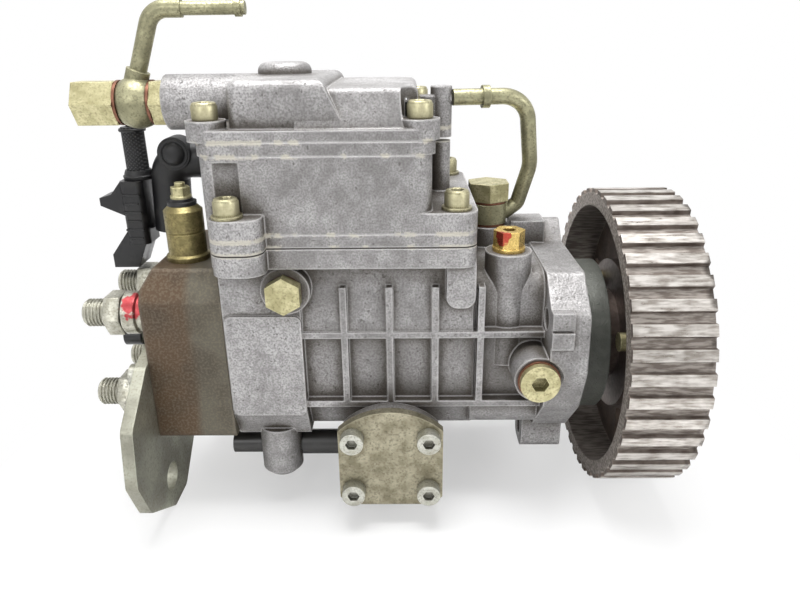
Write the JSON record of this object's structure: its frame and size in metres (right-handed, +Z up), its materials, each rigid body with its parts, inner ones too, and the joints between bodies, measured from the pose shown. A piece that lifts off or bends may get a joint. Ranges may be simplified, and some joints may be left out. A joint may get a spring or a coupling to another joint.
{
  "type": "diesel injection pump",
  "caption": "Axial-piston distributor injection pump with toothed belt sprocket, ribbed housing, electronic quantity adjuster under a stepped cover, outlets and rear bracket",
  "frame": {"origin": "centre of the mounting flange's front face, on the drive shaft's axis", "axes": "+X along the drive shaft towards the belt sprocket, +Z up through the quantity adjuster, +Y to the side of the feed inlet"},
  "size_m": [0.259, 0.1325, 0.2156],
  "materials": {
    "cast_aluminium": "sand-cast, dull, slightly oily",
    "head_steel": "dark, browned steel",
    "zinc_yellow": "yellow zinc plate, worn",
    "zinc_pale": "pale zinc plate",
    "bright_steel": "machined steel",
    "sprocket_steel": "sintered steel, worn bright on the lands",
    "solenoid_brass": "dull olive brass",
    "gold_plate": "gold-coloured plate",
    "copper": "soft copper, browned",
    "black_plastic": "black moulded plastic",
    "black_rubber": "black rubber",
    "braid": "black woven sleeve",
    "gasket": "dark sheet gasket",
    "bronze": "bearing bronze",
    "winding": "varnished winding"
  },
  "bodies": {
    "pump": {"pump_housing": "cast_aluminium", "shaft_bush": "bronze", "shaft_seal": "black_rubber", "hydraulic_head": "head_steel", "plunger_barrel": "bright_steel", "central_plug": "zinc_pale", "plug_cap": "black_plastic", "delivery_holders": "zinc_pale", "delivery_valves": "bright_steel", "cutoff_solenoid": "solenoid_brass", "solenoid_insulator": "black_plastic", "solenoid_terminal": "zinc_yellow", "rear_bracket": "zinc_pale", "bracket_screws": "zinc_pale", "deck_gasket": "gasket", "spacer_plate": "cast_aluminium", "adjuster_housing": "cast_aluminium", "band_plate": "cast_aluminium", "top_cover": "cast_aluminium", "adjuster_screws": "zinc_yellow", "cover_screws": "zinc_yellow", "timing_covers": "zinc_yellow", "timing_screws": "zinc_pale", "timing_spring": "bright_steel", "magnet_valve": "bright_steel", "feed_pump_ring": "bright_steel", "feed_pump_cover": "bright_steel", "stator": "bright_steel", "magnet_coil": "winding", "spring_yoke": "bright_steel", "plunger_springs": "bright_steel", "pressure_valve": "gold_plate", "socket_plug": "zinc_yellow", "hex_plug": "zinc_yellow", "hex_cap": "zinc_yellow", "return_nut": "zinc_yellow", "return_banjo": "zinc_yellow", "vent_pipe": "zinc_pale", "vent_bolt": "zinc_yellow", "copper_washers": "copper", "harness_elbow": "black_rubber", "connector": "black_plastic", "harness_sleeve": "braid", "harness_lead": "black_rubber"},
    "drive": {"drive_shaft": "bright_steel", "hub": "bright_steel", "hub_bolts": "zinc_yellow", "hub_nut": "zinc_yellow", "sprocket": "sprocket_steel", "feed_pump_rotor": "bright_steel", "feed_pump_vanes": "bright_steel", "cross_coupling": "bright_steel", "cam_plate": "bright_steel", "plunger": "bright_steel"},
    "roller_carrier": {"roller_ring": "bright_steel", "rollers": "bright_steel"},
    "timing_slider": {"timing_piston": "bright_steel"},
    "adjuster": {"adjuster_rotor": "bright_steel"},
    "collar": {"control_collar": "bright_steel"},
    "armature": {"solenoid_armature": "bright_steel"}
  },
  "joints": [
    {"name": "drive_turn", "type": "hinge", "parent": "pump", "child": "drive", "pos_m": [0, 0, 0], "axis": [1, 0, 0], "continuous": true},
    {"name": "roller_swing", "type": "hinge", "parent": "pump", "child": "roller_carrier", "pos_m": [-0.082, 0, 0], "axis": [1, 0, 0], "range_deg": [0, 12]},
    {"name": "piston_slide", "type": "slide", "parent": "pump", "child": "timing_slider", "axis": [0, 1, 0], "range_m": [0, 0.00791]},
    {"name": "adjuster_turn", "type": "hinge", "parent": "pump", "child": "adjuster", "pos_m": [-0.1195, 0, 0.05], "axis": [0, 0, 1], "range_deg": [-30, 30]},
    {"name": "collar_slide", "type": "slide", "parent": "pump", "child": "collar", "axis": [1, 0, 0], "range_m": [-0.00125, 0.00125]},
    {"name": "armature_slide", "type": "slide", "parent": "pump", "child": "armature", "axis": [0, 0, 1], "range_m": [0, 0.0015], "stiffness_N_per_m": 200, "springref_m": -0.01}
  ],
  "couplings": [
    {"joint": "piston_slide", "follows": "roller_swing", "m_per_rad": 0.03775},
    {"joint": "collar_slide", "follows": "adjuster_turn", "m_per_rad": 0.0023873}
  ]
}
